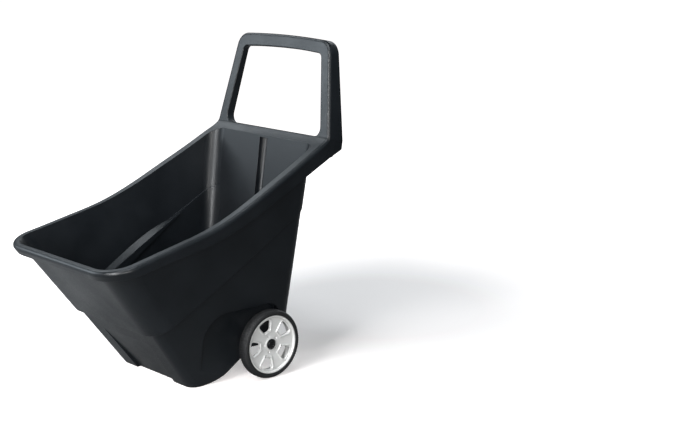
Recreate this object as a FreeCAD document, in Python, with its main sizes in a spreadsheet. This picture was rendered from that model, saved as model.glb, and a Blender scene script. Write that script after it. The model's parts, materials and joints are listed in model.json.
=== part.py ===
import FreeCAD, Part
import math
import os

import Sketcher

V = FreeCAD.Vector
doc = FreeCAD.newDocument("garden_cart")
sheet = doc.addObject("Spreadsheet::Sheet", "Sizes")

# Driving dimensions, millimetres and degrees.  Y is measured from the axle; axle_y moves every
# sub-part so that the origin sits on the floor below the middle of the bounding box.
SIZES = {
    "axle_y": 118.5, "axle_up": 90.0, "axle_dia": 12.0, "axle_half": 219.5, "bore_dia": 12.16,
    "tyre_radius": 90.0, "tyre_inner": 198.5, "tyre_outer": 230.5,
    "seat_radius": 74.2, "bead_radius": 76.4, "barrel_radius": 70.6, "rim_inner": 200.0, "rim_outer": 229.0,
    "disc_face": 223.0, "disc_thick": 4.5, "hub_radius": 15.0, "hub_inner": 188.0, "hub_outer": 222.0,
    "recess_radius": 12.0, "recess_floor": 214.0, "window_low": 37.0, "window_high": 67.0,
    "window_low_half": 9.0, "window_high_half": 20.0, "spoke_count": 5.0,
    "cap_radius": 13.8, "cap_rise": 5.5, "washer_radius": 11.0, "washer_thick": 1.5,
    "nut_radius": 10.5, "nut_thick": 1.2, "spacer_radius": 9.5, "spacer_inner": 167.3, "spacer_outer": 185.9,
    "wall": 3.5, "floor_thick": 4.0,
    "front_y": -218.0, "front_lean": 0.742, "rear_y": 81.0, "rear_lean": 0.1465,
    "front_half": 186.5, "front_flare": 0.137, "rear_half": 183.0, "rear_flare": 0.050,
    "side_bulge": 0.014, "corner_base": 58.0, "corner_grow": 0.025, "rear_corner": 40.0,
    "low_front_y": -208.0, "low_front_lean": 0.719, "low_half": 156.0, "low_flare": 0.168,
    "low_rear_half": 181.0, "low_corner": 26.0,
    "crease_y": -338.0, "crease_up": 167.0, "crease_slope": 0.55,
    "floor_y": -136.0, "floor_slope": 0.64, "floor_round": 50.0, "foot_half": 83.0, "foot_rise": 11.0,
    "toe_up": 124.0, "toe_half": 103.0, "toe_back": -120.0,
    "arch_front": -186.0, "arch_back": 60.0, "arch_top": 188.0, "arch_front_radius": 72.0,
    "arch_back_radius": 42.0, "arch_half": 167.0, "tunnel_radius": 15.0, "seat_length": 9.0, "seat_x": 60.0,
    "flange": 21.5, "lip_up": 360.0, "lip_round": 9.0, "ridge_radius": 16.5,
    "ridge_grow": 3.5, "ridge_set": 0.0, "ledge": 4.5, "ledge_band": 48.0, "ledge_end": 20.0,
    "handle_y": 187.0, "handle_base": 605.0, "handle_tilt": 10.75, "handle_top": 857.0,
    "handle_half": 235.6, "handle_taper": 0.188, "handle_corner": 41.0, "handle_crown": 6.0,
    "band_low": 47.0, "side_low": 100.0, "side_lean": 0.056, "blend_up": 3.0,
    "blend_deep": 9.6, "frame_face": 35.0, "bar_height": 35.0, "outer_deep": 50.0, "outer_shallow": 30.0,
    "inner_deep": 25.0, "inner_shallow": 17.0, "window_radius": 14.0, "window_low_radius": 24.0,
    "front_round": 9.0, "window_round": 3.0,
    "rib_pitch": 85.0,
    "grip_half": 155.0, "grip_depth": 42.0, "grip_start": 17.2, "grip_wall": 2.6, "tongue_start": 12.5,
    "slot_x": 49.0, "slot_half": 2.2, "slot_end": 15.0,
    "cover_half": 145.0, "cover_front": -26.0, "cover_back": 85.0, "cover_low": 70.0, "cover_wall": 2.6,
    "screw_radius": 2.0, "screw_head": 4.0, "screw_y": 11.0, "screw_reach": 18.0,
}
for row, (name, value) in enumerate(SIZES.items(), start=1):
    sheet.set("A%d" % row, name)
    sheet.set("B%d" % row, repr(value))
    sheet.setAlias("B%d" % row, name)
doc.recompute()


def size(name):
    """A driving dimension read back from the sheet."""
    return float(sheet.get(name))


def place(obj):
    """Every sub-part is drawn about the axle line and moved by the same cell."""
    obj.setExpression("Placement.Base.y", "Sizes.axle_y")


# ---------------------------------------------------------------- tub

FAR = 700.0
HANDLE_LEAN = math.tan(math.radians(size("handle_tilt")))


def prism_x(points, half=FAR):
    """A solid whose Y-Z outline is the closed polygon given, centred on X = 0."""
    wire = Part.makePolygon([V(-half, y, up) for y, up in points + points[:1]])
    return Part.Face(wire).extrude(V(2 * half, 0, 0))


def curve_x(points, closing, half=FAR):
    """As prism_x, with a spline through points and straight lines through closing."""
    spline = Part.BSplineCurve()
    spline.interpolate([V(-half, y, up) for y, up in points])
    ends = [points[-1]] + closing + [points[0]]
    lines = Part.makePolygon([V(-half, y, up) for y, up in ends])
    return Part.Face(Part.Wire([spline.toShape()] + lines.Edges)).extrude(V(2 * half, 0, 0))


def corner(before, tip, after, radius):
    """Tangent points and middle of the arc that rounds the corner at tip."""
    to_before = (before - tip).normalize()
    to_after = (after - tip).normalize()
    half_angle = to_before.getAngle(to_after) / 2
    reach = radius / math.tan(half_angle)
    centre_line = (to_before + to_after).normalize()
    middle = tip + centre_line * (radius / math.sin(half_angle) - radius)
    return tip + to_before * reach, middle, tip + to_after * reach


def section(up, front_y, rear_y, front_half, rear_half, bulge, front_radius, rear_radius):
    """One horizontal outline of the tub: a trapezoid with round corners and bowed sides."""
    tips = [V(-front_half, front_y, up), V(front_half, front_y, up),
            V(rear_half, rear_y, up), V(-rear_half, rear_y, up)]
    radii = [front_radius, front_radius, rear_radius, rear_radius]
    arcs = [corner(tips[i - 1], tips[i], tips[(i + 1) % 4], radii[i]) for i in range(4)]
    edges = []
    for i in range(4):
        start, middle, end = arcs[i]
        edges.append(Part.Arc(start, middle, end).toShape())
        following = arcs[(i + 1) % 4][0]
        if i % 2 == 0:
            edges.append(Part.makeLine(end, following))
        else:
            side = 1 if i == 1 else -1
            along = (following - end).normalize()
            peak = (end + following) * 0.5 + V(side * bulge, 0, 0)
            bow = Part.BSplineCurve()
            bow.interpolate(Points=[end, peak, following], InitialTangent=along, FinalTangent=along)
            edges.append(bow.toShape())
    return Part.Wire(edges)


def upper_loft(grow, extend=0.0, low=40.0, high=660.0):
    """The tub above its side crease, every wall moved out by grow; extend runs the sides rearward."""
    wires = []
    for up in (low, high):
        front_y = size("front_y") - size("front_lean") * up - grow
        rear_y = size("rear_y") + size("rear_lean") * up + grow
        front_half = size("front_half") + size("front_flare") * up + grow
        rear_half = size("rear_half") + size("rear_flare") * up + grow
        rear_half += (rear_half - front_half) / (rear_y - front_y) * extend
        rear_radius = 2.0 if extend else size("rear_corner") + grow
        wires.append(section(up, front_y, rear_y + extend, front_half, rear_half, size("side_bulge") * up,
                             size("corner_base") + size("corner_grow") * up + grow, rear_radius))
    return Part.makeLoft(wires, True, True)


def lower_loft(grow, low=-20.0, high=560.0):
    """The narrower tub below the crease."""
    wires = []
    for up in (low, high):
        wires.append(section(
            up, size("low_front_y") - size("low_front_lean") * up - grow,
            size("rear_y") + size("rear_lean") * up + grow,
            size("low_half") + size("low_flare") * up + grow,
            size("low_rear_half") + size("rear_flare") * up + grow,
            0.0001, size("low_corner") + grow, size("rear_corner") + grow))
    return Part.makeLoft(wires, True, True)


def crease_up(y):
    return size("crease_up") + size("crease_slope") * (y - size("crease_y"))


def above_crease(lift):
    """The half space over the inclined crease plane."""
    low, high = crease_up(-FAR) + lift, crease_up(FAR) + lift
    return prism_x([(-FAR, low), (FAR, high), (FAR, 2 * FAR), (-FAR, 2 * FAR)])


def ledge():
    """Where the wall is thicker below the crease: a band that narrows to nothing towards the back."""
    start, end = -400.0, size("ledge_end")
    return prism_x([(start, crease_up(start) - size("ledge_band")), (end, crease_up(end)),
                    (end, 2 * FAR), (start, 2 * FAR)])


def above_floor(lift, foot):
    """The half space over the flat toe and the sloping floor, with a round knee between them."""
    slope, reach = size("floor_slope"), size("floor_round")
    knee = V(0, size("floor_y") + (foot - lift) / slope, foot)
    along = V(0, 1, slope).normalize()
    start, end = knee - V(0, reach, 0), knee + along * reach
    bend = reach / math.tan(math.atan(slope) / 2)
    lowest = V(0, math.sin(math.atan(slope) / 2) * bend, bend - math.cos(math.atan(slope) / 2) * bend)
    top = lift + slope * (FAR - size("floor_y"))
    corners = [V(0, -FAR, foot), start, start + lowest, end, V(0, FAR, top), V(0, FAR, 3 * FAR),
               V(0, -FAR, 3 * FAR)]
    at = [point - V(FAR, 0, 0) for point in corners]
    edges = [Part.makeLine(at[0], at[1]), Part.Arc(at[1], at[2], at[3]).toShape()]
    edges += [Part.makeLine(at[k], at[(k + 1) % 7]) for k in range(3, 7)]
    return Part.Face(Part.Wire(edges)).extrude(V(2 * FAR, 0, 0))


def toe_recess(grow):
    """Wedge between the two feet: sunk at the floor and running out on the sloping front wall."""
    lean = size("low_front_lean")
    top, back = size("toe_up") + grow, size("toe_back")

    def front(up, inward):
        return size("low_front_y") - lean * up + inward

    depth = size("foot_rise") + grow
    side = prism_x([(front(top, 0), top), (front(0, depth), 0), (back, size("foot_rise") + grow),
                    (back, -60), (front(0, -120), -60), (front(top, -120), top)])
    low_half, high_half = size("foot_half") + grow, size("toe_half") + grow
    slope = (high_half - low_half) / size("toe_up")
    ends = [(low_half - 60 * slope, -60), (high_half + 60 * slope, size("toe_up") + 60)]
    outline = [V(ends[0][0], -FAR, ends[0][1]), V(ends[1][0], -FAR, ends[1][1]),
               V(-ends[1][0], -FAR, ends[1][1]), V(-ends[0][0], -FAR, ends[0][1])]
    block = Part.Face(Part.makePolygon(outline + outline[:1])).extrude(V(0, 2 * FAR, 0))
    return side.common(block)


def arch(grow):
    """Wheel recess on both sides; grow thickens it for the inside of the wall."""
    front, back, top = size("arch_front") - grow, size("arch_back") + grow, size("arch_top") + grow
    solids = []
    for side in (-1, 1):
        start = side * (size("arch_half") - grow)
        wire = Part.makePolygon([V(start, front, -60), V(start, front, top), V(start, back, top),
                                 V(start, back, -60), V(start, front, -60)])
        block = Part.Face(wire).extrude(V(side * 120, 0, 0))
        for y, radius in ((front, size("arch_front_radius")), (back, size("arch_back_radius"))):
            edges = [e for e in block.Edges if abs(e.CenterOfMass.y - y) < 0.01
                     and abs(e.CenterOfMass.z - top) < 0.01 and e.Length > 100]
            block = block.makeFillet(radius + grow, edges)
        solids.append(block)
    return solids[0].fuse(solids[1])


def tunnel(grow):
    """Round-topped channel across the floor that takes the axle from below."""
    radius = size("tunnel_radius") + grow
    up = size("axle_up")
    bore = Part.makeCylinder(radius, 2 * FAR, V(-FAR, 0, up), V(1, 0, 0))
    slot = Part.makeBox(2 * FAR, 2 * radius, up, V(-FAR, -radius, 0))
    return bore.fuse(slot)


def rim_curve(drop):
    """Points of the rim line seen from the side, lowered by drop."""
    lip = size("lip_up")
    rise = [(-530, -6), (-420, 14), (-300, 40), (-210, 61), (-120, 93), (0, 149), (90, 193), (150, 224),
            (180.5, 240.9), (185.8, 245.8), (188.6, 252.0), (195.4, 286), (205.1, 336), (224.4, 436)]
    return [(y, lip + up - drop) for y, up in rise]


def below_rim(drop):
    return curve_x(rim_curve(drop), [(FAR, rim_curve(drop)[-1][1]), (FAR, -FAR), (-FAR, -FAR),
                                     (-FAR, rim_curve(drop)[0][1])])


def skirt_line():
    """Lower edge of the hanging rim flange."""
    lip = size("lip_up")
    fall = [(-530, -33), (-420, -13), (-300, 9), (-210, 26), (-76, 71), (0, 105), (128, 164), (245, 218)]
    return [(y, lip + up) for y, up in fall]


def above_skirt():
    line = skirt_line()
    return curve_x(line, [(FAR, line[-1][1]), (FAR, 2 * FAR), (-FAR, 2 * FAR), (-FAR, line[0][1])])


def ridge(radius, low, high):
    """Half-round rib up the middle of the rear wall, a little wider towards the top."""
    lean = size("rear_lean")
    base = V(0, size("rear_y") + lean * low - size("ridge_set"), low)
    top = V(0, size("rear_y") + lean * high - size("ridge_set"), high)
    return Part.makeCone(radius, radius + size("ridge_grow"), (top - base).Length, base, top - base)


def axle_seats():
    """Plates that cross the tunnel and hold the axle."""
    plates = []
    length = size("seat_length")
    top = size("tunnel_radius") + 1.0
    end_seat = size("arch_half") - length
    for x in (-end_seat - length, -60 - length / 2, 60 - length / 2, end_seat):
        block = Part.makeBox(length, 2 * top, 2 * top, V(x, -top, size("axle_up") - top))
        plates.append(block)
    bore = Part.makeCylinder(size("axle_dia") / 2 + 0.05, 2 * FAR, V(-FAR, 0, size("axle_up")), V(1, 0, 0))
    pilot_radius, pilot_long = size("screw_radius") + 0.05, size("screw_reach") + 1
    pilots = [Part.makeCylinder(pilot_radius, pilot_long, V(x, y, size("cover_low")))
              for x in (-size("seat_x"), size("seat_x")) for y in (-size("screw_y"), size("screw_y"))]
    return plates[0].multiFuse(plates[1:]).cut([bore] + pilots)


def to_handle(shape):
    """Move a shape drawn in the handle plane (X across, Y up the plane, -Z rearward) into place."""
    tilt = FreeCAD.Rotation(V(1, 0, 0), 90 - size("handle_tilt"))
    shape.Placement = FreeCAD.Placement(V(0, size("handle_y"), size("handle_base")), tilt)
    return shape


def to_local(shape):
    """Bring a shape of the tub into the handle plane, the reverse of to_handle."""
    moved = shape.copy()
    tilt = FreeCAD.Rotation(V(1, 0, 0), 90 - size("handle_tilt"))
    away = FreeCAD.Placement(V(0, size("handle_y"), size("handle_base")), tilt).inverse()
    moved.Placement = away.multiply(moved.Placement)
    return moved


def handle_rise():
    """Length of the handle along its own plane."""
    return (size("handle_top") - size("handle_base")) / math.cos(math.radians(size("handle_tilt")))


def crowned_block(top, top_half, low, low_half, start, depth):
    """Trapezoid block drawn in the handle plane with an arched top edge."""
    middle = V(0, top + size("handle_crown"), start)
    crown = Part.Arc(V(top_half, top, start), middle, V(-top_half, top, start))
    lines = Part.makePolygon([V(-top_half, top, start), V(-low_half, low, start),
                              V(low_half, low, start), V(top_half, top, start)])
    return Part.Face(Part.Wire([crown.toShape()] + lines.Edges)).extrude(V(0, 0, -depth))


def handle_outline(inset, low, depth, start=0.0):
    """Block with the outer outline of the handle frame; below the sill its sides stay upright."""
    taper = size("handle_taper")
    top = handle_rise() - size("handle_crown") - inset
    top_half = size("handle_half") - taper * top - inset
    block = crowned_block(top, top_half, 0, size("handle_half") - inset, start, depth)
    edges = [e for e in block.Edges if abs(e.CenterOfMass.y - top) < 0.01
             and abs(abs(e.CenterOfMass.x) - top_half) < 0.01]
    block = block.makeFillet(size("handle_corner") - inset, edges)
    if low >= 0:
        return block.cut(Part.makeBox(2 * FAR, low + 1, 3 * depth, V(-FAR, -1, start - 2 * depth)))
    half = size("handle_half") - inset
    low_half = half + size("side_lean") * low
    corners = [V(-half, 0, start), V(half, 0, start), V(low_half, low, start), V(-low_half, low, start)]
    skirt = Part.Face(Part.makePolygon(corners + corners[:1])).extrude(V(0, 0, -depth))
    return block.fuse(skirt).removeSplitter()


def window(grow, depth, start=0.0):
    """Block with the outline of the hand opening."""
    top = handle_rise() - size("bar_height") - size("handle_crown") + grow
    half = size("handle_half") - size("frame_face") + grow
    block = crowned_block(top, half - size("handle_taper") * top, -grow, half, start, depth)
    edges = [e for e in block.Edges if abs(e.Length - depth) < 0.01]
    block = block.makeFillet(size("window_radius") + grow, [e for e in edges if e.CenterOfMass.y > 50])
    edges = [e for e in block.Edges if abs(e.Length - depth) < 0.01
             and abs(e.CenterOfMass.y + grow) < 0.01]
    return block.makeFillet(size("window_low_radius") + grow, edges)


def rear_limit(deep, shallow, reach=400.0):
    """Everything in front of a plane whose depth runs from deep at the sill to shallow on top."""
    fall = (deep - shallow) / handle_rise()
    low, high = -120.0, handle_rise() + 60
    wire = Part.makePolygon([V(-reach, low, 5), V(-reach, high, 5), V(-reach, high, -deep + fall * high),
                             V(-reach, low, -deep + fall * low), V(-reach, low, 5)])
    return Part.Face(wire).extrude(V(2 * reach, 0, 0))


def upright_ribs():
    """Crossed stiffening ribs inside the two uprights."""
    wall, taper, face, pitch = size("wall"), size("handle_taper"), size("frame_face"), size("rib_pitch")
    ribs = []
    for side in (-1, 1):
        for step in range(3):
            low = pitch * (step - 0.43)
            ends = []
            for up in (low, low + pitch):
                outer = size("handle_half") - taper * up - wall / 2
                ends.append((outer, outer - face + wall, up))
            crossing = ((ends[0][0], ends[0][2], ends[1][1], ends[1][2]),
                        (ends[0][1], ends[0][2], ends[1][0], ends[1][2]))
            for x1, up1, x2, up2 in crossing:
                along = V(x2 - x1, up2 - up1, 0)
                across = V(-along.y, along.x, 0).normalize() * 1.0
                one, two = V(x1, up1, -1), V(x2, up2, -1)
                points = [one + across, two + across, two - across, one - across, one + across]
                if side < 0:
                    points = [V(-p.x, p.y, p.z) for p in points]
                ribs.append(Part.Face(Part.makePolygon(points)).extrude(V(0, 0, -16)))
    return ribs


def rounded_front(block, start, radius, low):
    """Round the front edge of a handle outline, except along its cut lower end."""
    edges = [e for e in block.Edges if abs(e.BoundBox.ZMin - start) < 0.01
             and abs(e.BoundBox.ZMax - start) < 0.01 and e.BoundBox.YMax > low + 1]
    return block.makeFillet(radius, edges)


def bar_back(depth):
    """Space behind the top bar that belongs to the grip, in the handle plane."""
    reach = size("grip_half") + 0.3
    low = handle_rise() - size("bar_height") - 2 * size("handle_crown") - 12
    return Part.makeBox(2 * reach, 120, 80, V(-reach, low, -80 - depth))


def grip_bend():
    """Radius of the crown of the top bar."""
    crown_half = size("handle_half") - size("handle_taper") * handle_rise()
    return crown_half ** 2 / (2 * size("handle_crown")) + size("handle_crown") / 2


def at_slots(half, low, high, front, back):
    """Four equal blocks spread along the crown of the bar, in the handle plane."""
    pivot = V(0, handle_rise() - grip_bend(), 0)
    blocks = []
    for place_on_bar in (-3, -1, 1, 3):
        block = Part.makeBox(2 * half, high - low, back - front, V(-half, handle_rise() + low, -back))
        block.rotate(pivot, V(0, 0, 1), -math.degrees(place_on_bar * size("slot_x") / grip_bend()))
        blocks.append(block)
    return blocks


def handle_frame():
    """C-section frame of the handle, open to the rear."""
    wall, low = size("wall"), -size("side_low")
    deep = size("outer_deep") + 20
    solid = rounded_front(handle_outline(0, low, deep), 0, size("front_round"), low)
    solid = solid.cut(window(0, deep + 20, 10))
    inner_front = [e for e in solid.Edges if abs(e.BoundBox.ZMin) < 0.01 and abs(e.BoundBox.ZMax) < 0.01
                   and abs(e.CenterOfMass.x) < size("handle_half") - size("frame_face") + 1
                   and e.CenterOfMass.y > -1]
    solid = solid.makeFillet(size("window_round"), inner_front)
    core = handle_outline(wall, low - 10, deep + 20, -wall)
    core = rounded_front(core, -wall, size("front_round") - wall, low - 10)
    core = core.cut(window(wall, deep + 40, 10))
    short = window(wall + 0.01, deep + 20, 10).cut(rear_limit(size("inner_deep"), size("inner_shallow")))
    half = size("handle_half") + size("side_lean") * low - wall - 1
    below = Part.makeBox(2 * half, -low, 20, V(-half, low - 6, -wall))
    frame = solid.cut(core).cut(short).cut(below)
    frame = frame.common(rear_limit(size("outer_deep"), size("outer_shallow")))
    ribs = [rib.common(solid) for rib in upright_ribs()]
    frame = frame.multiFuse(ribs).cut(bar_back(size("grip_start") - 0.2))
    slots = Part.makeCompound(at_slots(size("slot_half"), -30, 20, 3.0, size("slot_end")))
    roof = Part.makeBox(2 * FAR, 60, 100, V(-FAR, handle_rise() - 22, -80))
    return to_handle(frame.cut(slots.common(roof))).common(above_skirt())


def sill():
    """Flat sill below the hand opening and the band that hangs from it."""
    wall = size("wall")
    half = size("handle_half") - size("front_round") - 2.0
    depth = size("outer_deep") - 1.0
    top = Part.makeBox(2 * half, wall, depth + 24, V(-half, -wall, -depth)).common(to_local(below_rim(0)))
    band_half = size("handle_half") - size("frame_face") + 6.0
    band = Part.makeBox(2 * band_half, size("band_low"), wall, V(-band_half, -size("band_low"), -depth))
    body = top.fuse(band).common(handle_outline(0, -size("band_low") - 20, depth + 60, 30))
    return to_handle(body)


def sill_gussets():
    """Short ribs that tie the hanging band to the rear wall."""
    outline = [(150, 588), (229, 594), (229, 563), (208, 560), (150, 532)]
    return [prism_x(outline, 1.2).translated(V(x, 0, 0)) for x in (-168, -112, -56, 56, 112, 168)]


def ridge_gussets():
    """Small triangular fins on both sides of the rear ridge."""
    fins = []
    lean = size("rear_lean")
    for up in range(190, 560, 62):
        y = size("rear_y") + lean * up
        corners = [V(-34, y - 1, up), V(34, y - 1, up), V(0, y + 12, up)]
        fin = Part.Face(Part.makePolygon(corners + corners[:1]))
        fins.append(fin.extrude(V(0, 0, 2.4)))
    return fins


def side_gussets():
    """Ribs inside the hanging flange along both sides."""
    ribs = []
    line = rim_curve(2)
    for y in (-140, -70, 0, 70, 128):
        below = [p for p in line if p[0] <= y][-1]
        above = [p for p in line if p[0] > y][0]
        up = below[1] + (above[1] - below[1]) * (y - below[0]) / (above[0] - below[0])
        for side in (-1, 1):
            wide = size("rear_half") + 30
            points = [V(side * (wide - 26), y, up), V(side * (wide + 22), y, up),
                      V(side * (wide + 22), y, up - 38), V(side * (wide - 26), y, up - 52),
                      V(side * (wide - 26), y, up)]
            ribs.append(Part.Face(Part.makePolygon(points)).extrude(V(0, 2.4, 0)))
    return ribs


def edges_on(solid, surfaces, gap=0.05):
    """Edges whose whole length lies on one of the surfaces."""
    found = []
    for edge in solid.Edges:
        points = [Part.Vertex(point) for point in edge.discretize(7)[1:-1]]
        if all(min(face.distToShape(point)[0] for face in surfaces) < gap for point in points):
            found.append(edge)
    return found


def rolled(grow, extend, inset):
    """The loft cut off at the rim line, rounded along the rim and trimmed to the handle's sides."""
    body = upper_loft(grow, extend).common(below_rim(inset)).common(above_skirt())
    curved = [face for face in below_rim(inset).Faces if not face.Surface.TypeId.endswith("Plane")]
    rim = [edge for edge in edges_on(body, curved) if abs(edge.CenterOfMass.x) > 5 or edge.CenterOfMass.y < 0]
    body = body.makeFillet(size("lip_round") - inset, rim)
    beside = Part.makeBox(2 * FAR, FAR, 260, V(-FAR, -4, -120))
    beside = to_handle(beside.cut(handle_outline(inset, -size("side_low"), 400, 200)))
    above = to_handle(Part.makeBox(2 * FAR, FAR, 300, V(-FAR, size("blend_up") + inset, -150)))
    return body.cut(beside).cut(above)


def build_tub():
    wall, floor = size("wall"), size("floor_thick")
    split = above_crease(0)
    inner_split = above_crease(wall)
    tub_upper = upper_loft(0)
    outside = tub_upper.common(split).fuse(lower_loft(0).cut(split))
    low_inside = lower_loft(-wall).cut(ledge()).fuse(lower_loft(-wall - size("ledge")).common(ledge()))
    inside = upper_loft(-wall).common(inner_split).fuse(low_inside.cut(inner_split))
    outside = outside.fuse(ridge(size("ridge_radius"), 128, 600))
    outside = outside.common(above_floor(0, 0))
    inside = inside.fuse(ridge(size("ridge_radius") - wall, 150, 584))
    inside = inside.common(above_floor(floor * 1.16, size("foot_rise") + floor))
    outside = outside.cut(toe_recess(0)).cut(arch(0)).cut(tunnel(0))
    inside = inside.cut(toe_recess(wall)).cut(arch(wall)).cut(tunnel(wall))
    back = size("handle_y") + size("blend_deep")
    before_handle = prism_x([(back - 200 * HANDLE_LEAN, size("handle_base") - 200),
                             (back + 200 * HANDLE_LEAN, size("handle_base") + 200),
                             (-FAR, size("handle_base") + 200), (-FAR, 0), (100, 0)])
    envelope = rolled(size("flange"), 90.0, 0).common(before_handle)
    flange = envelope.cut(rolled(size("flange") - wall, 130.0, wall))
    flange = flange.fuse([g.common(envelope) for g in side_gussets()])
    shell = outside.common(below_rim(0)).cut(to_handle(Part.makeBox(2 * FAR, FAR, 300, V(-FAR, 12, -150))))
    shell = shell.fuse(flange).cut(to_handle(window(0, 160, 80)))
    extras = [handle_frame(), sill(), axle_seats()] + sill_gussets() + ridge_gussets()
    shell = shell.multiFuse([e.cut(tub_upper) if i > 2 else e for i, e in enumerate(extras)])
    return shell.cut(inside)


tub = doc.addObject("Part::Feature", "tub")
tub.Shape = build_tub()
place(tub)


# ---------------------------------------------------------------- grip


def build_grip():
    """Half-round shell on the back of the top bar, with two tongues and four hooks inside the bar."""
    wall = size("grip_wall")
    top, height = handle_rise(), size("bar_height")
    start, back = -size("grip_start"), -size("grip_depth")

    def profile(inset, front):
        high, low, rear = top - inset, top - height + inset, back + inset
        middle, nose = (high + low) / 2, rear + (high - low) / 2
        arc = Part.Arc(V(0, high, nose), V(0, middle, rear), V(0, low, nose))
        lines = Part.makePolygon([V(0, low, nose), V(0, low, front), V(0, high, front), V(0, high, nose)])
        return Part.Face(Part.Wire([arc.toShape()] + lines.Edges))

    def strip(low, high, front, rear):
        return Part.Face(Part.makePolygon([V(0, low, front), V(0, high, front), V(0, high, rear),
                                           V(0, low, rear), V(0, low, front)]))

    half_angle = math.degrees(size("grip_half") / grip_bend())
    pivot, axis = V(0, top - grip_bend(), 0), V(0, 0, 1)

    def swept(face):
        turned = face.copy()
        turned.rotate(pivot, axis, -half_angle)
        return turned.revolve(pivot, axis, 2 * half_angle)

    shell = swept(profile(0, start)).cut(swept(profile(wall, start + 5)))
    under = size("wall") + 0.1
    first, last = -size("tongue_start"), start - 4
    tongues = [swept(strip(top - under - wall, top - under, first, last)),
               swept(strip(top - under - wall, top - 1, start, last)),
               swept(strip(top - height + under, top - height + under + wall, first, last)),
               swept(strip(top - height + 1, top - height + under + wall, start, last))]
    hooks = at_slots(size("slot_half") - 1.2, -under - 1.0, -1.0, size("tongue_start"),
                     size("slot_end") - 0.2)
    shell = shell.multiFuse(tongues + hooks)
    return Part.makeCompound([to_handle(shell)])


grip = doc.addObject("Part::Feature", "grip_shell")
grip.Shape = build_grip()
place(grip)


# ---------------------------------------------------------------- sketched bodies


def num(value):
    """A plain number with its expression."""
    return value, repr(float(value))


def dim(name, factor=1.0, plus=0.0):
    """A cell of the sheet, scaled and shifted, with its expression."""
    return size(name) * factor + plus, "Sizes.%s * %s + %s" % (name, repr(factor), repr(plus))


def new_body(name):
    body = doc.addObject("PartDesign::Body", name)
    body.Label = name
    place(body)
    return body


def new_sketch(body, name, role):
    plane = [f for f in body.Origin.OriginFeatures if f.Role == role][0]
    sketch = body.newObject("Sketcher::SketchObject", name)
    sketch.AttachmentSupport = [(plane, "")]
    sketch.MapMode = "FlatFace"
    return sketch


def bind(sketch, kind, geo, point, value):
    index = sketch.addConstraint(Sketcher.Constraint(kind, -1, 1, geo, point, value[0]))
    sketch.setExpression("Constraints[%d]" % index, value[1])


def add_loop(sketch, corners):
    """Closed polygon; every corner is held by two bound distances from the sketch origin."""
    first = sketch.GeometryCount
    count = len(corners)
    for i, (across, up) in enumerate(corners):
        following = corners[(i + 1) % count]
        start, end = V(across[0], up[0], 0), V(following[0][0], following[1][0], 0)
        sketch.addGeometry(Part.LineSegment(start, end), False)
    for i in range(count):
        sketch.addConstraint(Sketcher.Constraint("Coincident", first + i, 2, first + (i + 1) % count, 1))
    for i, (across, up) in enumerate(corners):
        bind(sketch, "DistanceX", first + i, 1, across)
        bind(sketch, "DistanceY", first + i, 1, up)


def add_circle(sketch, across, up, radius):
    index = sketch.addGeometry(Part.Circle(V(across[0], up[0], 0), V(0, 0, 1), radius[0]), False)
    bind(sketch, "DistanceX", index, 3, across)
    bind(sketch, "DistanceY", index, 3, up)
    held = sketch.addConstraint(Sketcher.Constraint("Radius", index, radius[0]))
    sketch.setExpression("Constraints[%d]" % held, radius[1])


def revolve_x(body, corners):
    """Revolve a profile given as (along the axle, radius) about the body's own X axis."""
    sketch = new_sketch(body, body.Name + "_profile", "XY_Plane")
    add_loop(sketch, corners)
    turn = body.newObject("PartDesign::Revolution", body.Name + "_turn")
    turn.Profile = sketch
    turn.ReferenceAxis = (sketch, ["H_Axis"])
    turn.Angle = 360.0
    return turn


def on_axle(body):
    body.setExpression("Placement.Base.z", "Sizes.axle_up")
    return body


def sided(side, value):
    """Mirror a bound length to the chosen side of the cart."""
    return side * value[0], "%d * (%s)" % (side, value[1])


def turned_part(name, side, corners):
    """A turned sub-part on the axle; corners are given for the +X side."""
    body = on_axle(new_body(name))
    feature = revolve_x(body, [(sided(side, along), radius) for along, radius in corners])
    return body, feature


# ---------------------------------------------------------------- axle and what sits on it

axle, axle_turn = turned_part("axle", 1, [
    (dim("axle_half", -1.0), num(0.0)), (dim("axle_half"), num(0.0)),
    (dim("axle_half"), dim("axle_dia", 0.5, -1.0)), (dim("axle_half", 1.0, -1.0), dim("axle_dia", 0.5)),
    (dim("axle_half", -1.0, 1.0), dim("axle_dia", 0.5)),
    (dim("axle_half", -1.0), dim("axle_dia", 0.5, -1.0)),
])


def ring(name, side, start, end, inner, outer):
    return turned_part(name, side, [(start, inner), (end, inner), (end, outer), (start, outer)])[0]


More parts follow.
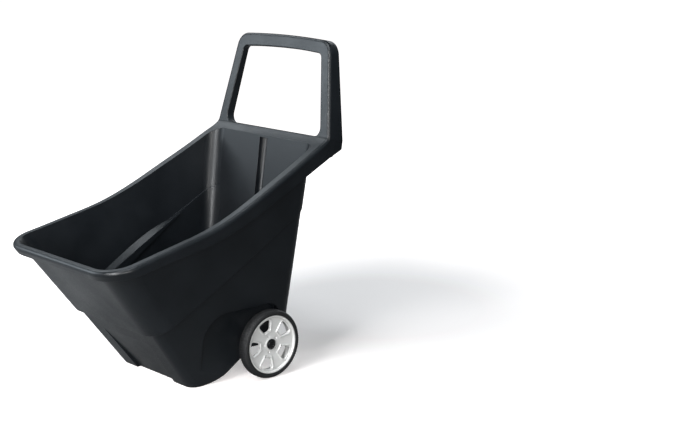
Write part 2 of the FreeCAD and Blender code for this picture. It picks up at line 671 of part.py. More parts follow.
def build_rim(name, side):
    """Plastic wheel: barrel with two beads, dished disc, hub with cap recess, windows, spoke ribs."""
    face, thick = "disc_face", size("disc_thick")
    body, last = turned_part(name, side, [
        (dim("rim_inner"), dim("barrel_radius")), (dim("rim_inner"), dim("bead_radius")),
        (dim("rim_inner", 1.0, 2.5), dim("bead_radius")), (dim("rim_inner", 1.0, 4.4), dim("seat_radius")),
        (dim("rim_outer", 1.0, -4.4), dim("seat_radius")),
        (dim("rim_outer", 1.0, -2.5), dim("bead_radius")),
        (dim("rim_outer"), dim("bead_radius")), (dim("rim_outer"), dim("barrel_radius", 1.0, 2.6)),
        (dim("rim_outer", 1.0, -2.2), dim("barrel_radius", 1.0, 0.6)),
        (dim(face), dim("barrel_radius", 1.0, -1.0)),
        (dim(face, 1.0, -2.5), dim("hub_radius", 1.0, 6.0)), (dim("hub_outer"), dim("hub_radius")),
        (dim("hub_outer"), dim("recess_radius")), (dim("recess_floor"), dim("recess_radius")),
        (dim("recess_floor"), dim("bore_dia", 0.5)), (dim("hub_inner"), dim("bore_dia", 0.5)),
        (dim("hub_inner"), dim("hub_radius", 1.0, -1.5)),
        (dim(face, 1.0, -thick - 2.5), dim("hub_radius")),
        (dim(face, 1.0, -thick), dim("barrel_radius")),
    ])
    openings = new_sketch(body, name + "_openings", "YZ_Plane")
    add_loop(openings, [
        (dim("window_low_half", -1.0), dim("window_low")), (dim("window_low_half"), dim("window_low")),
        (dim("window_high_half"), dim("window_high", 1.0, -6.0)),
        (dim("window_high_half", 0.7), dim("window_high", 1.0, -2.0)), (num(0.0), dim("window_high")),
        (dim("window_high_half", -0.7), dim("window_high", 1.0, -2.0)),
        (dim("window_high_half", -1.0), dim("window_high", 1.0, -6.0)),
    ])
    pocket = body.newObject("PartDesign::Pocket", name + "_window")
    pocket.Profile = openings
    pocket.Type = "ThroughAll"
    pocket.Reversed = side > 0
    pattern = body.newObject("PartDesign::PolarPattern", name + "_windows")
    pattern.Originals = [pocket]
    pattern.Axis = (openings, ["N_Axis"])
    pattern.Angle = 360.0
    pattern.Occurrences = int(size("spoke_count"))
    body.Tip = pattern
    return body


def build_tyre(name, side):
    seat, bead = dim("seat_radius", 1.0, 0.1), dim("bead_radius", 1.0, 0.4)
    body, turn = turned_part(name, side, [
        (dim("rim_inner", 1.0, 4.8), seat), (dim("rim_outer", 1.0, -4.8), seat),
        (dim("rim_outer", 1.0, -2.2), bead), (dim("tyre_outer"), dim("bead_radius", 1.0, 0.8)),
        (dim("tyre_outer"), dim("tyre_radius", 1.0, -5.0)),
        (dim("tyre_outer", 1.0, -2.6), dim("tyre_radius", 1.0, -1.6)),
        (dim("tyre_outer", 1.0, -8.0), dim("tyre_radius")),
        (dim("tyre_inner", 1.0, 8.0), dim("tyre_radius")),
        (dim("tyre_inner", 1.0, 2.6), dim("tyre_radius", 1.0, -1.6)),
        (dim("tyre_inner"), dim("tyre_radius", 1.0, -5.0)),
        (dim("tyre_inner"), dim("bead_radius", 1.0, 0.8)), (dim("rim_inner", 1.0, 2.2), bead),
    ])
    return body


def build_cap(name, side):
    skirt = dim("recess_radius", 1.0, -0.05)
    edge = dim("hub_outer", 1.0, 0.3)
    body, turn = turned_part(name, side, [
        (dim("hub_outer", 1.0, -4.0), dim("recess_radius", 1.0, -1.2)),
        (dim("hub_outer", 1.0, -4.0), skirt),
        (edge, skirt), (edge, dim("cap_radius")), (dim("hub_outer", 1.0, 2.0), dim("cap_radius")),
        (dim("hub_outer", 1.0, 3.6), dim("cap_radius", 0.86)),
        (dim("cap_rise", 1.0, size("hub_outer") - 0.8),
                                                               dim("cap_radius", 0.5)),
        (dim("cap_rise", 1.0, size("hub_outer")), num(0.0)),
        (dim("cap_rise", 1.0, size("hub_outer") - 2.0), num(0.0)),
        (dim("hub_outer", 1.0, 1.4), dim("recess_radius", 1.0, -1.2)),
    ])
    return body


bore = dim("bore_dia", 0.5)
nut_start = size("recess_floor") + size("washer_thick") + 0.5
parts = [tub, grip, axle]
for hand, side in (("right", 1), ("left", -1)):
    parts.append(build_rim("rim_" + hand, side))
    parts.append(build_tyre("tyre_" + hand, side))
    parts.append(build_cap("hub_cap_" + hand, side))
    ends = dim("spacer_inner"), dim("spacer_outer")
    parts.append(ring("spacer_" + hand, side, ends[0], ends[1], bore, dim("spacer_radius")))
    parts.append(ring("inner_washer_" + hand, side, dim("spacer_outer", 1.0, 0.2),
                      dim("spacer_outer", 1.0, 0.2 + size("washer_thick")), bore, dim("washer_radius")))
    parts.append(ring("outer_washer_" + hand, side, dim("recess_floor", 1.0, 0.2),
                      dim("recess_floor", 1.0, 0.2 + size("washer_thick")), bore, dim("washer_radius")))
    parts.append(ring("push_nut_" + hand, side, num(nut_start), dim("nut_thick", 1.0, nut_start),
                      dim("axle_dia", 0.5), dim("nut_radius")))


# ---------------------------------------------------------------- axle cover and screws


def build_cover():
    """Trough that closes the axle channel from below."""
    body = new_body("axle_cover")
    wall = size("cover_wall")
    front, back, low = size("cover_front"), size("cover_back"), size("cover_low")

    def floor_up(y):
        return size("floor_slope") * (y - size("floor_y")) - 0.4

    outer = [(front, floor_up(front)), (front + 3, low), (24, low), (back - 12, low + 24),
             (back, low + 34), (back, floor_up(back))]
    inner = [(front + wall, floor_up(front + wall) + 20), (front + 3 + wall, low + wall), (23, low + wall),
             (back - 13, low + 24 + wall), (back - wall, low + 35), (back - wall, floor_up(back - wall) + 20)]
    block = new_sketch(body, "cover_outline", "YZ_Plane")
    add_loop(block, [(num(y), num(up)) for y, up in outer])
    pad = body.newObject("PartDesign::Pad", "cover_block")
    pad.Profile = block
    pad.Midplane = True
    pad.setExpression("Length", "Sizes.cover_half * 2")
    hollow = new_sketch(body, "cover_hollow", "YZ_Plane")
    add_loop(hollow, [(num(y), num(up)) for y, up in inner])
    trough = body.newObject("PartDesign::Pocket", "cover_trough")
    trough.Profile = hollow
    trough.Midplane = True
    trough.setExpression("Length", "Sizes.cover_half * 2 - Sizes.cover_wall * 2")
    slots = new_sketch(body, "cover_slots", "YZ_Plane")
    reach = size("axle_dia") / 2 + 2.5
    add_loop(slots, [(num(-reach), dim("axle_up", 1.0, -reach)), (num(reach), dim("axle_up", 1.0, -reach)),
                     (num(reach), dim("axle_up", 1.0, 60.0)), (num(-reach), dim("axle_up", 1.0, 60.0))])
    passage = body.newObject("PartDesign::Pocket", "cover_passage")
    passage.Profile = slots
    passage.Midplane = True
    passage.setExpression("Length", "Sizes.cover_half * 2 + 10")
    holes = new_sketch(body, "cover_screw_holes", "XY_Plane")
    for x in (-1, 1):
        for y in (-1, 1):
            add_circle(holes, dim("seat_x", x), dim("screw_y", y), dim("screw_radius", 1.0, 0.15))
    drill = body.newObject("PartDesign::Pocket", "cover_drill")
    drill.Profile = holes
    drill.Reversed = True
    drill.setExpression("Length", "Sizes.cover_low + Sizes.cover_wall + 1")
    body.Tip = drill
    return body


def build_screws():
    """Four equal pan-head screws, each made of a shank and a head."""
    screws = []
    for i, (x, y) in enumerate(((-1, -1), (-1, 1), (1, -1), (1, 1))):
        solids = []
        for kind, radius, length, start in (("shank", "Sizes.screw_radius", "Sizes.screw_reach + 2.4",
                                             "Sizes.cover_low - 2.4"),
                                            ("head", "Sizes.screw_head", "2.4", "Sizes.cover_low - 2.45")):
            solid = doc.addObject("Part::Cylinder", "screw_%s_%d" % (kind, i))
            solid.setExpression("Radius", radius)
            solid.setExpression("Height", length)
            solid.setExpression("Placement.Base.x", "Sizes.seat_x * %d" % x)
            solid.setExpression("Placement.Base.y", "Sizes.screw_y * %d" % y)
            solid.setExpression("Placement.Base.z", start)
            solids.append(solid)
        screw = doc.addObject("Part::Fuse", "screw_%d" % i)
        screw.Base, screw.Tool = solids
        screws.append(screw)
    group = doc.addObject("Part::Compound", "cover_screws")
    group.Links = screws
    place(group)
    return group


parts.append(build_cover())
parts.append(build_screws())

doc.recompute()
for obj in doc.Objects:
    if "Invalid" in obj.State or "Error" in obj.State:
        raise RuntimeError("%s is in state %s" % (obj.Name, obj.State))
os.makedirs("parts", exist_ok=True)
for part in parts:
    if part.Shape.isNull() or not part.Shape.isValid():
        raise RuntimeError("%s has no valid shape" % part.Name)
    part.Label = part.Name
    part.Shape.exportStep("parts/%s.step" % part.Name)
    print("%-22s solids %d  volume %9.0f" % (part.Name, len(part.Shape.Solids), part.Shape.Volume))
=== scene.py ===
import json
import math

import bmesh
import bpy
from mathutils import Matrix, Vector
from mathutils.bvhtree import BVHTree


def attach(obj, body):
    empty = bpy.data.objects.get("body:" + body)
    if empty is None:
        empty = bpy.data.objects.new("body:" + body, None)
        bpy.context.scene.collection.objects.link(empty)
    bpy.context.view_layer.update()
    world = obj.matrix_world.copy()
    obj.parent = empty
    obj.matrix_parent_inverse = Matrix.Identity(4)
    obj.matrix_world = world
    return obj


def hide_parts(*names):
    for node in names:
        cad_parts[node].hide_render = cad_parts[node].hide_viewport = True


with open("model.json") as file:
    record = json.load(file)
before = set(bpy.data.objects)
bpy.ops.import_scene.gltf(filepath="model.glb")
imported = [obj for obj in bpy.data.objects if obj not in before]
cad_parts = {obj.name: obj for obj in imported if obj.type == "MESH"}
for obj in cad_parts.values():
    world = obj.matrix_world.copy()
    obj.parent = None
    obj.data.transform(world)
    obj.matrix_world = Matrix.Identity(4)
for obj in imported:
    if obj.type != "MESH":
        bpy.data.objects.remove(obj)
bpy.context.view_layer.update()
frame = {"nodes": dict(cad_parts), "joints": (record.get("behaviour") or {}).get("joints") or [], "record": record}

MM = 0.001
scene = bpy.context.scene
nodes = frame["nodes"]
joint_at = {joint["child"]: Vector(joint["pos_m"]) for joint in frame["joints"]}
HANDS = (("right", 1), ("left", -1))


# ------------------------------------------------------------ node helpers

class Graph:
    """A small wrapper round one material's node tree."""

    def __init__(self, name):
        self.material = bpy.data.materials.new(name)
        self.material.use_nodes = True
        self.tree = self.material.node_tree
        self.shader = self.tree.nodes["Principled BSDF"]

    def add(self, kind, inputs=None, **settings):
        node = self.tree.nodes.new(kind)
        for key, value in settings.items():
            setattr(node, key, value)
        for key, value in (inputs or {}).items():
            if isinstance(value, bpy.types.NodeSocket):
                self.tree.links.new(value, node.inputs[key])
            else:
                node.inputs[key].default_value = value
        return node

    def to_shader(self, name, value):
        if isinstance(value, bpy.types.NodeSocket):
            self.tree.links.new(value, self.shader.inputs[name])
        else:
            self.shader.inputs[name].default_value = value

    def place(self):
        """Object coordinates, so a pattern stays with its piece."""
        return self.add("ShaderNodeTexCoord").outputs["Object"]

    def noise(self, scale, detail=4.0, roughness=0.55, vector=None):
        source = vector if vector is not None else self.place()
        return self.add("ShaderNodeTexNoise", {"Vector": source, "Scale": scale, "Detail": detail,
                                               "Roughness": roughness}).outputs["Fac"]

    def ramp(self, value, low, high, out_low=0.0, out_high=1.0):
        return self.add("ShaderNodeMapRange", {"Value": value, "From Min": low, "From Max": high,
                                               "To Min": out_low, "To Max": out_high}).outputs["Result"]

    def math(self, kind, first, second=0.0):
        return self.add("ShaderNodeMath", {0: first, 1: second}, operation=kind).outputs[0]

    def mix(self, factor, first, second):
        node = self.add("ShaderNodeMix", data_type="RGBA")
        for socket, value in ((0, factor), (6, first), (7, second)):
            if isinstance(value, bpy.types.NodeSocket):
                self.tree.links.new(value, node.inputs[socket])
            else:
                node.inputs[socket].default_value = value
        return node.outputs[2]

    def round_normal(self, radius):
        return self.add("ShaderNodeBevel", {"Radius": radius}, samples=6).outputs["Normal"]

    def edge_mask(self, rounded):
        """One on sharp corners and zero on flats: how far the rounded normal leaves the flat one."""
        flat = self.add("ShaderNodeNewGeometry").outputs["Normal"]
        facing = self.add("ShaderNodeVectorMath", {0: rounded, 1: flat},
                          operation="DOT_PRODUCT").outputs["Value"]
        return self.ramp(facing, 0.995, 0.80)

    def bump(self, height, strength, distance, normal=None):
        inputs = {"Height": height, "Strength": strength, "Distance": distance}
        if normal is not None:
            inputs["Normal"] = normal
        return self.add("ShaderNodeBump", inputs).outputs["Normal"]


def rgb(red, green, blue):
    return red, green, blue, 1.0


def moulded(name, dark, light, roughness, grain=1400.0, grain_depth=0.00012, edge=0.0012):
    """Injection-moulded plastic: fine spark grain, cloudy sheen, pale edges that are partly wear and partly
    painted highlight, and a little dust.
    """
    graph = Graph(name)
    rounded = graph.round_normal(edge)
    cloud = graph.noise(9.0, 5.0)
    speck = graph.noise(420.0, 2.0)
    colour = graph.mix(graph.ramp(cloud, 0.35, 0.70), rgb(*dark), rgb(*light))
    # Painted highlight mixed with wear: sharp edges are lightened in noisy patches, partly as wear and partly as a
    # highlight on the edge.
    edge_wear_and_highlight = graph.math("MULTIPLY", graph.edge_mask(rounded),
                        graph.ramp(graph.noise(60.0), 0.35, 0.75, 0.15, 0.5))
    edge_wear_and_highlight_colour = [min(1.0, 2.6 * c + 0.012) for c in light]
    colour = graph.mix(edge_wear_and_highlight, colour, rgb(*edge_wear_and_highlight_colour))
    dust = graph.math("MULTIPLY", graph.ramp(speck, 0.66, 0.74), graph.ramp(cloud, 0.45, 0.7, 0.0, 0.22))
    colour = graph.mix(dust, colour, rgb(*[c * 2.2 + 0.01 for c in light]))
    graph.to_shader("Base Color", colour)
    sheen = graph.math("ADD", graph.ramp(cloud, 0.3, 0.7, roughness - 0.05, roughness + 0.06),
                       graph.ramp(graph.noise(190.0, 3.0), 0.3, 0.7, -0.03, 0.03))
    graph.to_shader("Roughness", sheen)
    graph.to_shader("Specular IOR Level", 0.5)
    fine = graph.bump(graph.noise(grain, 2.0, 0.6), 0.32, grain_depth, rounded)
    graph.to_shader("Normal", graph.bump(graph.noise(28.0, 2.0), 0.10, 0.0008, fine))
    return graph.material


def painted_rim(name):
    """Silver-grey moulded wheel plastic with a fine flake and painted shade darkening its corners and recesses."""
    graph = Graph(name)
    rounded = graph.round_normal(0.0007)
    cloud = graph.noise(22.0, 4.0)
    flake = graph.noise(1900.0, 1.0)
    colour = graph.mix(graph.ramp(cloud, 0.3, 0.7), rgb(0.72, 0.715, 0.70), rgb(0.79, 0.785, 0.77))
    colour = graph.mix(graph.ramp(flake, 0.58, 0.72, 0.0, 0.35), colour, rgb(0.72, 0.72, 0.70))
    # Painted shade: ambient occlusion darkens the base colour in the corners and recesses of the wheel.
    painted_recess_shade = graph.add("ShaderNodeAmbientOcclusion", {"Distance": 0.012}, samples=4).outputs["AO"]
    colour = graph.mix(graph.ramp(painted_recess_shade, 0.2, 0.85, 0.55, 0.0), colour, rgb(0.19, 0.185, 0.175))
    graph.to_shader("Base Color", colour)
    graph.to_shader("Metallic", 0.18)
    graph.to_shader("Roughness", graph.ramp(cloud, 0.3, 0.7, 0.33, 0.42))
    graph.to_shader("Normal", graph.bump(graph.noise(1300.0, 2.0), 0.12, 0.00008, rounded))
    return graph.material


def rubber(name):
    """Tyre rubber: dull and nearly black, with pale specks of dust."""
    graph = Graph(name)
    cloud = graph.noise(35.0, 5.0)
    speck = graph.noise(650.0, 3.0)
    colour = graph.mix(graph.ramp(cloud, 0.3, 0.7), rgb(0.0065, 0.0066, 0.0072), rgb(0.0120, 0.0122, 0.0130))
    colour = graph.mix(graph.ramp(speck, 0.60, 0.75, 0.0, 0.25), colour, rgb(0.050, 0.050, 0.050))
    graph.to_shader("Base Color", colour)
    graph.to_shader("Roughness", graph.ramp(speck, 0.3, 0.7, 0.52, 0.68))
    graph.to_shader("Normal", graph.bump(speck, 0.25, 0.0002, graph.round_normal(0.0006)))
    return graph.material


def steel(name, tint, roughness, brush):
    """Drawn or plated steel with fine lines round the bar."""
    graph = Graph(name)
    stretched = graph.add("ShaderNodeMapping", {"Vector": graph.place(), "Scale": (brush, 40.0, 40.0)})
    lines = graph.noise(12.0, 3.0, vector=stretched.outputs["Vector"])
    cloud = graph.noise(45.0, 4.0)
    dull = rgb(*[c * 0.6 for c in tint])
    graph.to_shader("Base Color", graph.mix(graph.ramp(cloud, 0.35, 0.75), rgb(*tint), dull))
    graph.to_shader("Metallic", 1.0)
    graph.to_shader("Roughness", graph.ramp(lines, 0.3, 0.7, roughness - 0.06, roughness + 0.1))
    graph.to_shader("Normal", graph.bump(lines, 0.15, 0.0001))
    return graph.material


tub_plastic = moulded("tub_plastic", (0.0036, 0.0050, 0.0068), (0.0054, 0.0074, 0.0100), 0.40)
grip_plastic = moulded("grip_plastic", (0.015, 0.016, 0.0172), (0.021, 0.022, 0.0235), 0.50,
                       900.0, 0.0002, 0.0009)
cap_plastic = moulded("cap_plastic", (0.0035, 0.0035, 0.0038), (0.0060, 0.0060, 0.0065), 0.26,
                      900.0, 0.00006, 0.0005)
rim_plastic = painted_rim("rim_plastic")
tyre_rubber = rubber("tyre_rubber")
axle_steel = steel("axle_steel", (0.56, 0.56, 0.57), 0.30, 900.0)
plated_steel = steel("screw_steel", (0.62, 0.62, 0.58), 0.28, 60.0)
FINISH = {"tub_plastic": tub_plastic, "grip_plastic": grip_plastic, "cap_plastic": cap_plastic,
          "rim_plastic": rim_plastic, "tyre_rubber": tyre_rubber, "axle_steel": axle_steel,
          "screw_steel": plated_steel}

for entry in frame["record"]["subparts"]:
    mesh = nodes[entry["node"]].data
    mesh.materials.clear()
    mesh.materials.append(FINISH[entry["material_slot"]])


# ------------------------------------------------------------ mesh helpers

def make_piece(name, bm, body, material, node=None, smooth=35.0):
    """Finish a bmesh as a named piece that rides on a body."""
    bmesh.ops.recalc_face_normals(bm, faces=bm.faces)
    mesh = bpy.data.meshes.new(name)
    bm.to_mesh(mesh)
    bm.free()
    mesh.materials.append(material)
    mesh.shade_smooth()
    mesh.set_sharp_from_angle(angle=math.radians(smooth))
    piece = bpy.data.objects.new(name, mesh)
    scene.collection.objects.link(piece)
    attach(piece, body)
    if node:
        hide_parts(node)
    return piece


def wheel_point(centre, side, along, radius, angle):
    """A point of a wheel: along from the cart's middle and radius in metres, angle from straight up."""
    return Vector((side * along, centre.y - radius * math.sin(angle), centre.z + radius * math.cos(angle)))


def spun(bm, centre, side, profile, steps, shift=None, closed=True):
    """Turn a profile of (along, radius) about the axle; shift(i, step) may lower single points."""
    rings = []
    for step in range(steps):
        angle = 2 * math.pi * step / steps
        ring = []
        for i, (along, radius) in enumerate(profile):
            lower = shift(i, step) if shift else 0.0
            ring.append(bm.verts.new(wheel_point(centre, side, along * MM, (radius - lower) * MM, angle)))
        rings.append(ring)
    last = len(profile) if closed else len(profile) - 1
    for step in range(steps):
        here, there = rings[step], rings[(step + 1) % steps]
        for i in range(last):
            j = (i + 1) % len(profile)
            bm.faces.new((here[i], here[j], there[j], there[i]))
    return rings


def rounded_path(points, cuts=5):
    """Polyline with its marked corners rounded: points are (along, radius, corner radius)."""
    path = []
    count = len(points)
    for i, (x, y, r) in enumerate(points):
        if r == 0:
            path.append((x, y))
            continue
        here = Vector((x, y))
        before = Vector(points[i - 1][:2]) - here
        after = Vector(points[(i + 1) % count][:2]) - here
        half = before.angle(after) / 2
        reach = r / math.tan(half)
        start = here + before.normalized() * reach
        end = here + after.normalized() * reach
        middle = here + (before.normalized() + after.normalized()).normalized() * (r / math.sin(half))
        first, second = start - middle, end - middle
        sweep = first.angle_signed(second)
        for cut in range(cuts + 1):
            turned = first.copy()
            turned.rotate(Matrix.Rotation(-sweep * cut / cuts, 2))
            path.append(tuple(middle + turned))
    return path


# ------------------------------------------------------------ wheels

SPOKES = 5
WHEEL_TURN = math.radians(20.0)
WINDOW = (36.5, 66.8)
DISC_FACE = 219.9
DISC_THICKNESS = 4.6
SPOKE_EDGE = {"height": 3.0, "offset": 3.2, "width": 1.5}
BOSS = {"height": 1.9, "radius": 15.5}
DIMPLE = {"depth": 2.2, "radius": 2.6, "from_axle": 21.8}


def window_half(radius):
    """Half width of a wheel window at this radius, in millimetres, with rounded ends."""
    low, high = WINDOW
    t = (2 * radius - low - high) / (high - low)
    if abs(t) >= 1.0:
        return 0.0
    straight = 9.3 + (radius - low) / (high - low) * 11.5
    return straight * (1.0 - abs(t) ** 5) ** 0.2


def dish(radius):
    """Plain dished face of the wheel disc along the axle, in millimetres."""
    return DISC_FACE + 3.4 * max(0.0, (radius - 24.0) / 46.0) ** 1.3


def disc_height(radius, from_window, from_dimple):
    """Face of the wheel disc along the axle: dish, raised spoke edges, hub boss and dimples."""
    rib = SPOKE_EDGE["height"] * math.exp(-((from_window - SPOKE_EDGE["offset"]) / SPOKE_EDGE["width"]) ** 2)
    fade = min(1.0, max(0.0, (radius - 27.0) / 8.0)) * min(1.0, max(0.0, (70.5 - radius) / 3.0))
    boss = BOSS["height"] * (1.0 - min(1.0, max(0.0, (radius - BOSS["radius"]) / 3.0)))
    dimple = DIMPLE["depth"] * (1.0 - min(1.0, max(0.0, (from_dimple - DIMPLE["radius"]) / 1.0)))
    return dish(radius) + rib * fade + boss - dimple


def distance_to_window(radius, across):
    """Rough distance from a point of the disc to the rim of its window, both in millimetres."""
    low, high = WINDOW
    inside = min(max(radius, low + 2.0), high - 2.0)
    sideways = abs(across) - window_half(inside)
    lengthways = max(0.0, low - radius, radius - high)
    return math.hypot(max(0.0, sideways), lengthways) if lengthways else sideways


def build_disc(bm, centre, side):
    """Front and back skins of the disc, joined round the windows and left open at hub and barrel."""
    radii = [15.2 + 0.9 * i for i in range(24)]
    low, high = WINDOW
    radii += [low + (high - low) * (0.5 - 0.5 * math.cos(math.pi * i / 26)) for i in range(27)]
    radii += [67.5, 68.4, 69.3, 70.2, 71.0]
    radii = sorted(set(radii))
    open_columns, spoke_columns = 10, 22
    sector = 2 * math.pi / SPOKES
    skins = []
    for back in (False, True):
        rows = []
        for radius in radii:
            row = []
            half = window_half(radius) / radius
            if half == 0.0:
                half = 9.0 / low * 0.5 if radius < low else 14.0 / high
            for k in range(SPOKES):
                middle = WHEEL_TURN + sector * k
                for column in range(open_columns + spoke_columns):
                    if column < open_columns:
                        off = -half + 2 * half * column / open_columns
                    else:
                        off = half + (sector - 2 * half) * (column - open_columns) / spoke_columns
                    nearest = min(abs(off), abs(sector - off))
                    along = disc_height(radius, distance_to_window(radius, radius * nearest),
                                        math.hypot(radius - DIMPLE["from_axle"], radius * nearest))
                    if back:
                        along = dish(radius) - DISC_THICKNESS
                    point = wheel_point(centre, side, along * MM, radius * MM, middle + off)
                    row.append(bm.verts.new(point))
            rows.append(row)
        skins.append(rows)
    columns = len(skins[0][0])
    width = open_columns + spoke_columns
    for i in range(len(radii) - 1):
        gap = window_half((radii[i] + radii[i + 1]) / 2) > 0.0
        for j in range(columns):
            if gap and j % width < open_columns:
                continue
            n = (j + 1) % columns
            for rows in skins:
                bm.faces.new((rows[i][j], rows[i][n], rows[i + 1][n], rows[i + 1][j]))
    front, rear = skins
    inside = [i for i in range(len(radii) - 1) if window_half((radii[i] + radii[i + 1]) / 2) > 0.0]
    for k in range(SPOKES):
        for j in (k * width, k * width + open_columns):
            for i in inside:
                bm.faces.new((front[i][j], front[i + 1][j], rear[i + 1][j], rear[i][j]))
        for i in (inside[0], inside[-1] + 1):
            for j in range(k * width, k * width + open_columns):
                bm.faces.new((front[i][j], front[i][j + 1], rear[i][j + 1], rear[i][j]))
    bmesh.ops.remove_doubles(bm, verts=bm.verts, dist=0.00002)


def build_wheel(hand, side):
    body = "wheel_" + hand
    centre = joint_at[body]
    bm = bmesh.new()
    build_disc(bm, centre, side)
    barrel = rounded_path([
        (200.0, 70.6, 0.4), (200.0, 76.4, 0.8), (202.5, 76.4, 0.8), (204.4, 74.2, 0), (224.6, 74.2, 0),
        (226.5, 76.4, 0.8), (229.0, 76.4, 0.9), (229.0, 73.4, 0.6), (226.2, 71.6, 1.2), (222.8, 70.2, 0.5),
        (218.0, 70.0, 0.3)], 4)
    spun(bm, centre, side, barrel, 160)
    hub = rounded_path([(188.0, 6.08, 0), (188.0, 13.5, 0.6), (214.0, 15.0, 0), (221.3, 15.6, 0.5),
                        (221.9, 12.0, 0.3), (214.0, 12.0, 0), (214.0, 6.08, 0)], 4)
    spun(bm, centre, side, hub, 96)
    make_piece("wheel_rim_" + hand, bm, body, rim_plastic, "rim_" + hand)

    bm = bmesh.new()
    tread = rounded_path([
        (204.8, 74.3, 0), (225.2, 74.3, 0), (226.8, 76.8, 0), (229.3, 76.7, 0.5), (230.5, 78.2, 0.8),
        (230.4, 83.0, 2.0), (228.6, 87.6, 2.5), (222.5, 90.0, 6.0), (206.5, 90.0, 6.0), (200.4, 87.6, 2.5),
        (198.6, 83.0, 2.0), (198.5, 78.2, 0.8), (199.7, 76.7, 0.5), (202.2, 76.8, 0)], 5)

    def sipe(i, step):
        along, radius = tread[i]
        shoulder = radius > 85.8 and not 207.5 < along < 221.5
        centre_line = radius > 89.5 and abs(along - 214.5) < 7.6
        if shoulder and step % 4 < 2:
            return 0.9
        if centre_line and step % 8 < 2:
            return 0.35
        return 0.0

    spun(bm, centre, side, tread, 360, sipe)
    make_piece("wheel_tyre_" + hand, bm, body, tyre_rubber, "tyre_" + hand, 50.0)

    bm = bmesh.new()
    dome = rounded_path([(222.2, 0.05, 0), (222.2, 11.9, 0), (222.3, 13.8, 0.2), (223.8, 13.8, 0.7),
                         (224.4, 12.4, 0.4), (224.1, 11.5, 0.4), (226.0, 9.5, 2.0), (227.2, 5.0, 4.0),
                         (227.5, 0.05, 0)], 5)
    spun(bm, centre, side, dome, 72)
    make_piece("wheel_cap_" + hand, bm, body, cap_plastic, "hub_cap_" + hand)


for hand, side in HANDS:
    build_wheel(hand, side)


# ------------------------------------------------------------ tub finish

AXLE_Y = joint_at["wheel_right"].y
CREASE_SLOPE = 0.55
CREASE_Z = 0.3529
LEDGE_BACK = AXLE_Y - 0.012
LEDGE_FRONT = AXLE_Y - 0.395
LEDGE_STEPS = 60


def crease_z(y):
    """Height of the inner crease of the tub over a point along the cart."""
    return CREASE_Z + CREASE_SLOPE * (y - AXLE_Y)


def build_ledge(hand, side):
    """Chamfer over the step along the crease, 0.4 mm proud of the wall and fading at both ends."""
    walls = BVHTree.FromObject(nodes["tub"], bpy.context.evaluated_depsgraph_get())
    rows = []
    for step in range(LEDGE_STEPS + 1):
        t = step / LEDGE_STEPS
        y = LEDGE_FRONT + (LEDGE_BACK - LEDGE_FRONT) * t
        rise = 0.0010 + 0.0110 * math.sin(math.pi * t ** 2.4)
        high = crease_z(y) + 0.0035 + rise
        low = crease_z(y) + 0.0020
        upper = walls.ray_cast(Vector((0.0, y, high)), Vector((side, 0.0, 0.0)))[0]
        lower = walls.ray_cast(Vector((0.0, y, low)), Vector((side, 0.0, 0.0)))[0]
        if upper is None or lower is None or abs(upper.x) > 0.3:
            continue
        inward = Vector((-side * 0.0004, 0.0, 0.0))
        rows.append((upper + inward, lower + inward, Vector((upper.x + side * 0.001, y, low))))
    bm = bmesh.new()
    rings = [[bm.verts.new(point) for point in row] for row in rows]
    for here, there in zip(rings, rings[1:]):
        for i in range(3):
            j = (i + 1) % 3
            bm.faces.new((here[i], here[j], there[j], there[i]))
    bm.faces.new(rings[0])
    bm.faces.new(reversed(rings[-1]))
    make_piece("tub_ledge_" + hand, bm, "cart", tub_plastic)


for hand, side in HANDS:
    build_ledge(hand, side)

for name in ("tub", "grip_shell", "axle_cover", "axle"):
    nodes[name].data.set_sharp_from_angle(angle=math.radians(28.0))


# ------------------------------------------------------------ floor, light and camera

# Painted shadow on the floor: the floor's glowing for the camera is weakest, at the level below, round the point
# set after it.
GLOW_IN_PAINTED_SHADOW = 0.08
PAINTED_SHADOW_MIDDLE = (-0.08, 0.78, 0.0)
ROOM_LIGHT = 0.12


def area_light(name, place, target, size_x, size_y, power, tint=(1.0, 1.0, 1.0)):
    light = bpy.data.lights.new(name, "AREA")
    light.shape = "RECTANGLE"
    light.size, light.size_y, light.energy, light.color = size_x, size_y, power, tint
    lamp = bpy.data.objects.new(name, light)
    lamp.location = place
    lamp.rotation_euler = (Vector(target) - Vector(place)).to_track_quat("-Z", "Y").to_euler()
    scene.collection.objects.link(lamp)


def pale_floor_with_painted_shadow():
    """A large floor with painted light and shadow. The camera sees it pale, and glowing more with distance from
    the middle of the painted shadow, so the lamps' shadow shows only round that middle.

    Every other ray sees it grey, and darker towards the cart's right side: painted shade that the cart reflects.
    """
    bm = bmesh.new()
    bmesh.ops.create_grid(bm, x_segments=1, y_segments=1, size=30.0)
    mesh = bpy.data.meshes.new("floor")
    bm.to_mesh(mesh)
    bm.free()
    floor = bpy.data.objects.new("floor", mesh)
    scene.collection.objects.link(floor)
    graph = Graph("floor")
    distance = graph.add("ShaderNodeVectorMath", {0: graph.place(), 1: PAINTED_SHADOW_MIDDLE},
                         operation="DISTANCE").outputs["Value"]
    seen = graph.add("ShaderNodeLightPath").outputs["Is Camera Ray"]
    # Painted light and shadow: weak glowing near the shadow's middle and full glowing from 1.45 m off, so the far
    # floor is white whatever the lamps give.
    painted_light_and_shadow = graph.ramp(distance, 0.32, 1.45, GLOW_IN_PAINTED_SHADOW, 1.0)
    across = graph.add("ShaderNodeSeparateXYZ", {0: graph.place()}).outputs["X"]
    # Painted shade for reflections: rays other than the camera's see the floor darker towards the cart's right
    # side, so the cart reflects less light there.
    painted_reflection_shade = graph.mix(graph.ramp(across, -0.4, 0.5), rgb(0.44, 0.44, 0.44), rgb(0.13, 0.13, 0.13))
    graph.to_shader("Base Color", graph.mix(seen, painted_reflection_shade, rgb(0.90, 0.855, 0.835)))
    graph.to_shader("Roughness", 0.8)
    graph.to_shader("Specular IOR Level", 0.1)
    graph.to_shader("Emission Color", rgb(1.0, 0.97, 0.965))
    graph.to_shader("Emission Strength", graph.math("MULTIPLY", painted_light_and_shadow, seen))
    mesh.materials.append(graph.material)


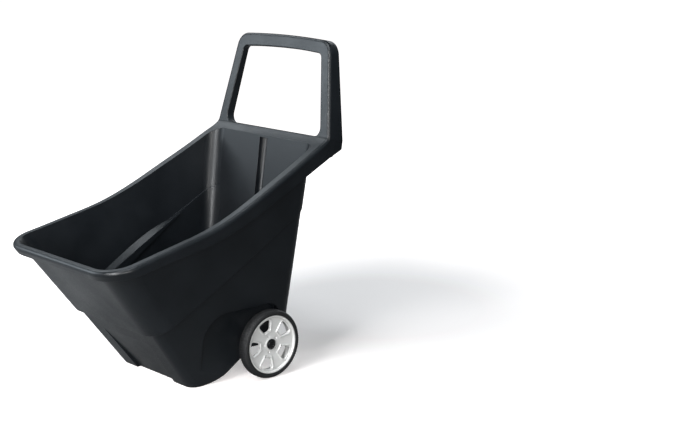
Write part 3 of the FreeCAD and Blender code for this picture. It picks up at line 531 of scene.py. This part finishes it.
def studio_world():
    """White backdrop for the camera, a dim room for everything that reflects it."""
    world = bpy.data.worlds.new("studio")
    scene.world = world
    world.use_nodes = True
    tree = world.node_tree
    backdrop = tree.nodes["Background"]
    backdrop.inputs["Color"].default_value = rgb(1.0, 1.0, 1.0)
    backdrop.inputs["Strength"].default_value = 1.02
    room = tree.nodes.new("ShaderNodeBackground")
    room.inputs["Color"].default_value = rgb(0.80, 0.92, 1.0)
    room.inputs["Strength"].default_value = ROOM_LIGHT
    path = tree.nodes.new("ShaderNodeLightPath")
    switch = tree.nodes.new("ShaderNodeMixShader")
    tree.links.new(path.outputs["Is Camera Ray"], switch.inputs[0])
    tree.links.new(room.outputs[0], switch.inputs[1])
    tree.links.new(backdrop.outputs[0], switch.inputs[2])
    tree.links.new(switch.outputs[0], tree.nodes["World Output"].inputs["Surface"])


pale_floor_with_painted_shadow()
studio_world()
area_light("key_box", (1.0, -2.9, 2.2), (0.0, 0.1, 0.4), 1.1, 1.1, 92.0, (0.97, 0.985, 1.0))
area_light("left_box", (-2.4, -2.3, 1.7), (0.0, 0.1, 0.5), 2.0, 1.8, 64.0, (0.84, 0.93, 1.0))
area_light("front_box", (1.9, -3.0, 0.9), (0.0, 0.1, 0.35), 0.7, 1.3, 60.0, (0.97, 0.985, 1.0))
area_light("side_box", (3.4, -1.3, 1.2), (0.1, 0.1, 0.1), 0.9, 0.9, 46.0, (1.0, 0.99, 0.97))
area_light("over_box", (0.35, -0.45, 2.7), (0.0, -0.1, 0.3), 0.9, 0.9, 26.0, (0.90, 0.96, 1.0))
area_light("right_box", (2.7, 2.0, 3.2), (0.0, 0.0, 0.5), 2.2, 1.8, 7.0, (0.80, 0.92, 1.0))
area_light("back_box", (-1.2, 3.3, 1.7), (0.0, 0.1, 0.4), 1.6, 1.2, 26.0, (0.92, 0.97, 1.0))
area_light("ledge_box", (-2.3, 0.3, 2.6), (0.0, 0.0, 0.4), 1.3, 1.3, 18.0, (0.88, 0.95, 1.0))

scene.view_settings.view_transform = "Standard"

CAMERA_AT = Vector((2.930, -2.0867, 1.1754))
CAMERA_LOOK = Vector((-0.7257, 0.6536, -0.2149))
camera_data = bpy.data.cameras.new("camera")
camera_data.sensor_width = 36.0
camera_data.lens = 75.15
camera = bpy.data.objects.new("camera", camera_data)
camera.location = CAMERA_AT
camera.rotation_euler = CAMERA_LOOK.to_track_quat("-Z", "Y").to_euler()
scene.collection.objects.link(camera)
scene.camera = camera
